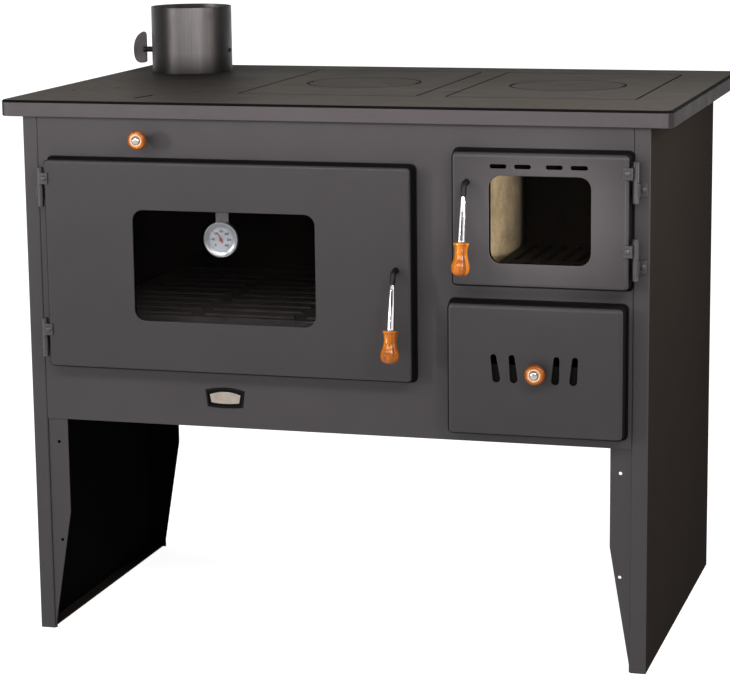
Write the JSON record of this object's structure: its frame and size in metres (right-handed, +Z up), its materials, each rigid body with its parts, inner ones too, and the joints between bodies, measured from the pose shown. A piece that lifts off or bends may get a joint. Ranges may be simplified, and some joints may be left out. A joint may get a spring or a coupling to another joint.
{
  "type": "wood-burning cookstove",
  "caption": "Free-standing wood-burning cookstove with an oven, a firebox and an ash drawer under a hob with lift-out plates, a flue collar and folded side panels that run down as legs.",
  "frame": {"origin": "on the floor, under the middle of the object's bounding box", "axes": "+X to the right of somebody facing the stove, +Y from the front to the back, +Z up"},
  "size_m": [1, 0.72, 0.917],
  "materials": {
    "body_paint": "satin heat-proof anthracite paint",
    "inner_sheet": "matt black heat-proof paint, inside",
    "hob_iron": "ground and blacked cast iron",
    "bare_steel": "plain dark steel, finely brushed",
    "chrome": "bright polished plating",
    "grip_wood": "turned hardwood, orange-brown gloss varnish",
    "heat_glass": "heat-proof glass",
    "firebrick": "pressed refractory board, light beige, sooted",
    "grate_iron": "raw grey casting",
    "dial_face": "printed white dial",
    "pointer_red": "dark red",
    "badge_metal": "bare pressed plate, brushed"
  },
  "bodies": {
    "body": {"side_panel_left": "body_paint", "side_panel_right": "body_paint", "front_panel": "body_paint", "badge_plate": "badge_metal", "back_panel": "inner_sheet", "base_panel": "inner_sheet", "divider_panel": "inner_sheet", "oven_box": "inner_sheet", "oven_tray": "grate_iron", "smoke_baffle": "inner_sheet", "grate_frame": "inner_sheet", "grate": "grate_iron", "lining_left": "firebrick", "lining_right": "firebrick", "lining_rear": "firebrick", "ash_shelf": "inner_sheet", "hob_frame": "hob_iron", "flue_collar": "bare_steel", "oven_hinge_upper_frame_half": "body_paint", "oven_hinge_lower_frame_half": "body_paint", "firebox_hinge_upper_frame_half": "body_paint", "firebox_hinge_lower_frame_half": "body_paint"},
    "oven_door": {"oven_door_shell": "body_paint", "oven_door_glass": "heat_glass", "oven_door_liner": "inner_sheet", "oven_hinge_upper_door_half": "body_paint", "oven_hinge_lower_door_half": "body_paint", "thermometer_case": "chrome", "thermometer_dial": "dial_face", "thermometer_strap": "bare_steel"},
    "thermometer_needle": {"thermometer_pointer": "pointer_red"},
    "oven_handle": {"oven_handle_rod": "grate_iron", "oven_handle_ferrule": "chrome", "oven_handle_grip": "grip_wood", "oven_handle_cam": "bare_steel"},
    "firebox_door": {"firebox_door_shell": "body_paint", "firebox_door_glass": "heat_glass", "firebox_door_liner": "inner_sheet", "firebox_hinge_upper_door_half": "body_paint", "firebox_hinge_lower_door_half": "body_paint"},
    "firebox_handle": {"firebox_handle_rod": "grate_iron", "firebox_handle_ferrule": "chrome", "firebox_handle_grip": "grip_wood", "firebox_handle_cam": "bare_steel"},
    "ash_drawer": {"ash_drawer_front": "body_paint", "ash_pan": "bare_steel", "ash_knob_wood": "grip_wood", "ash_knob_cap": "chrome", "ash_knob_screw": "bare_steel"},
    "bypass_pull": {"bypass_rod": "bare_steel", "bypass_flap": "bare_steel", "bypass_knob_wood": "grip_wood", "bypass_knob_cap": "chrome"},
    "flue_damper": {"damper_shaft": "bare_steel", "damper_disc": "bare_steel", "damper_handle": "bare_steel"},
    "plate_left": {"hob_plate_left": "hob_iron"},
    "plate_right": {"hob_plate_right": "hob_iron"},
    "lid_left": {"hob_lid_left": "hob_iron"},
    "lid_right": {"hob_lid_right": "hob_iron"}
  },
  "joints": [
    {"name": "door_oven", "type": "hinge", "parent": "body", "child": "oven_door", "pos_m": [-0.435, -0.29745, 0.57], "axis": [0, 0, -1], "range_deg": [0, 105]},
    {"name": "door_firebox", "type": "hinge", "parent": "body", "child": "firebox_door", "pos_m": [0.4505, -0.29745, 0.655], "axis": [0, 0, 1], "range_deg": [0, 105]},
    {"name": "handle_oven", "type": "hinge", "parent": "oven_door", "child": "oven_handle", "pos_m": [0.109, -0.32095, 0.578], "axis": [0, 1, 0], "range_deg": [0, 90]},
    {"name": "handle_firebox", "type": "hinge", "parent": "firebox_door", "child": "firebox_handle", "pos_m": [0.214, -0.32595, 0.708], "axis": [0, -1, 0], "range_deg": [0, 90]},
    {"name": "drawer_ash", "type": "slide", "parent": "body", "child": "ash_drawer", "axis": [0, -1, 0], "range_m": [0, 0.34]},
    {"name": "damper_bypass", "type": "slide", "parent": "body", "child": "bypass_pull", "axis": [0, -1, 0], "range_m": [0, 0.08]},
    {"name": "damper_flue", "type": "hinge", "parent": "body", "child": "flue_damper", "pos_m": [-0.386, 0.23205, 0.845], "axis": [1, 0, 0], "range_deg": [0, 90]},
    {"name": "lift_plate_left", "type": "slide", "parent": "body", "child": "plate_left", "axis": [0, 0, 1], "range_m": [0, 0.12]},
    {"name": "lift_plate_right", "type": "slide", "parent": "body", "child": "plate_right", "axis": [0, 0, 1], "range_m": [0, 0.12]},
    {"name": "lift_lid_left", "type": "slide", "parent": "plate_left", "child": "lid_left", "axis": [0, 0, 1], "range_m": [0, 0.08]},
    {"name": "lift_lid_right", "type": "slide", "parent": "plate_right", "child": "lid_right", "axis": [0, 0, 1], "range_m": [0, 0.08]},
    {"name": "pointer_thermometer", "type": "hinge", "parent": "oven_door", "child": "thermometer_needle", "pos_m": [-0.1565, -0.29495, 0.6128], "axis": [0, 1, 0], "range_deg": [-105, 165]}
  ]
}
